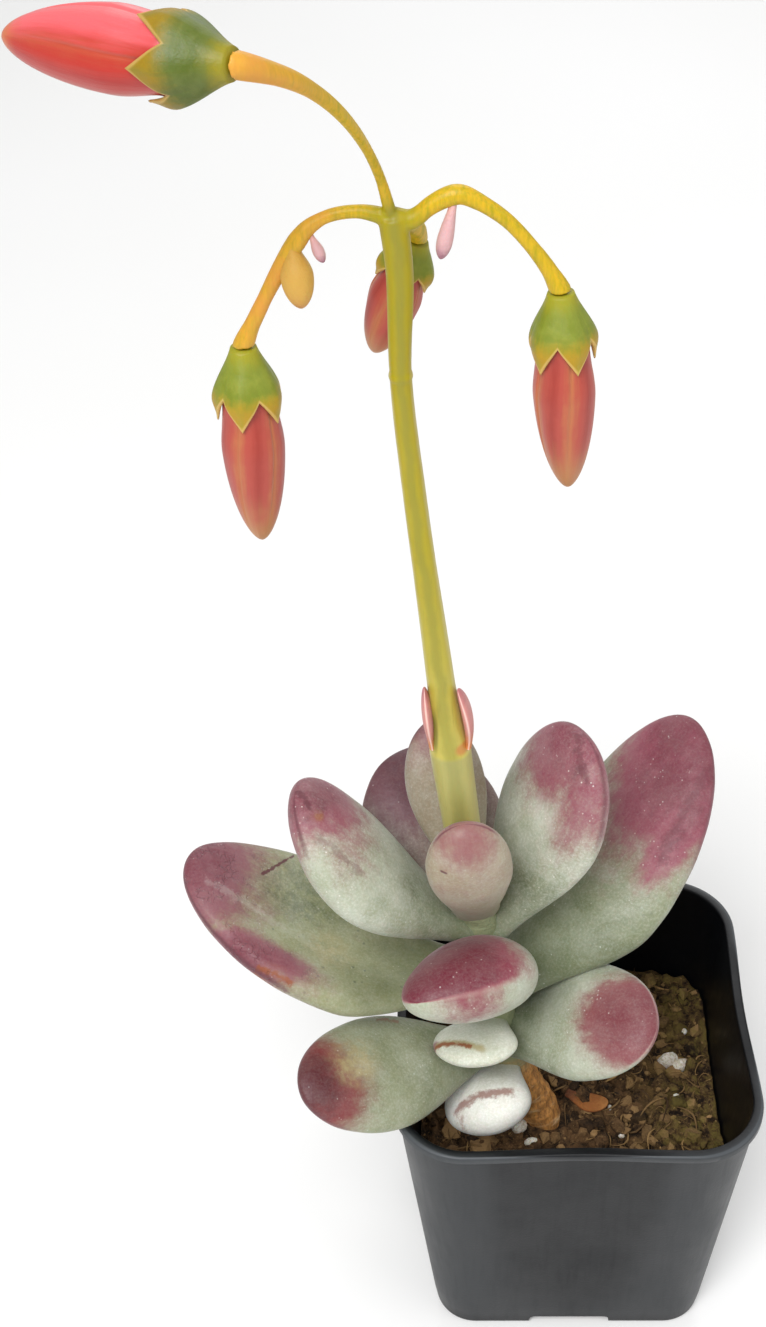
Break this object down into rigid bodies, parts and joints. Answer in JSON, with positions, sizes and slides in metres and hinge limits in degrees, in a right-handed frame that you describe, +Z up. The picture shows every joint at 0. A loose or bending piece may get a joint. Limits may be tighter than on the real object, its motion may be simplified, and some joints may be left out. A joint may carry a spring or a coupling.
{
  "type": "potted pig's ear succulent",
  "caption": "Pig's ear succulent in a square nursery pot: fleshy crossed leaf pairs blushed pink, with a tall stalk of nodding coral buds.",
  "frame": {"origin": "middle of the pot's underside, on the surface that it stands on", "axes": "+Z up, -Y towards the front of the pot, +X to its right; the plant leans towards -X and the flower head towards -X and -Y"},
  "size_m": [0.0986, 0.0656, 0.2513],
  "materials": {
    "pot": "satin",
    "soil": "matte",
    "stem": "matte",
    "stalk": "satin",
    "leaf": "matte",
    "bract": "satin",
    "calyx": "satin",
    "petals": "satin",
    "budlet": "satin",
    "tiny_bud": "satin",
    "dry_leaf": "matte"
  },
  "bodies": {
    "root": {"pot": "pot", "soil": "soil", "stem": "stem", "flower_stalk": "stalk", "leaf_7_front": "leaf", "leaf_6_right": "leaf", "leaf_6_left": "leaf", "leaf_7_back": "leaf", "leaf_5_front": "leaf", "leaf_5_back": "leaf", "leaf_4_right": "leaf", "leaf_4_left": "leaf", "leaf_3_front": "leaf", "leaf_2_right": "leaf", "leaf_2_left": "leaf", "leaf_1_front": "leaf", "leaf_3_back": "leaf", "leaf_1_back": "leaf", "bract_left": "bract", "bract_right": "bract", "calyx_upper_left": "calyx", "petals_upper_left": "petals", "calyx_left": "calyx", "petals_left": "petals", "calyx_right": "calyx", "petals_right": "petals", "calyx_back": "calyx", "petals_back": "petals", "bud_small_left": "budlet", "bud_tiny_left": "tiny_bud", "bud_tiny_right": "tiny_bud", "dry_leaf": "dry_leaf"}
  },
  "joints": []
}
